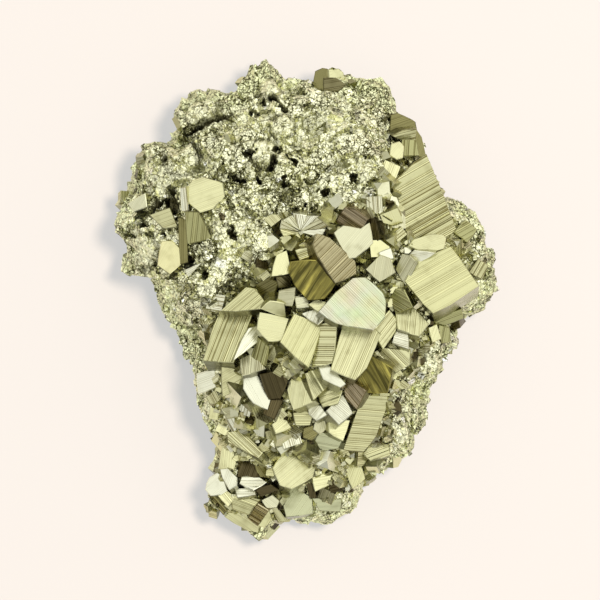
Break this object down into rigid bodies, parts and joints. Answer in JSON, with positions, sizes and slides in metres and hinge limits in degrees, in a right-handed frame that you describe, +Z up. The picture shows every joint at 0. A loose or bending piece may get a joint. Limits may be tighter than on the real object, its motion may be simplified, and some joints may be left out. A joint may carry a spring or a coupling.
{
  "type": "pyrite specimen",
  "caption": "Hand-sized mineral specimen: a granular pyrite lump crusted with intergrown, striated metallic cubes and pyritohedra, resting on a flat cut base.",
  "frame": {"origin": "centre of the bounding box in plan, on the flat cut underside", "axes": "+Z up out of the crystal crust, +Y along the length towards the broad granular end, +X towards the largest cube"},
  "size_m": [0.0632, 0.0802, 0.032],
  "materials": {
    "pyrite": "pale brass-yellow mineral with a metallic lustre, striated crystal faces and a sparkling granular fracture"
  },
  "bodies": {
    "root": {"pyrite_specimen": "pyrite"}
  },
  "joints": []
}
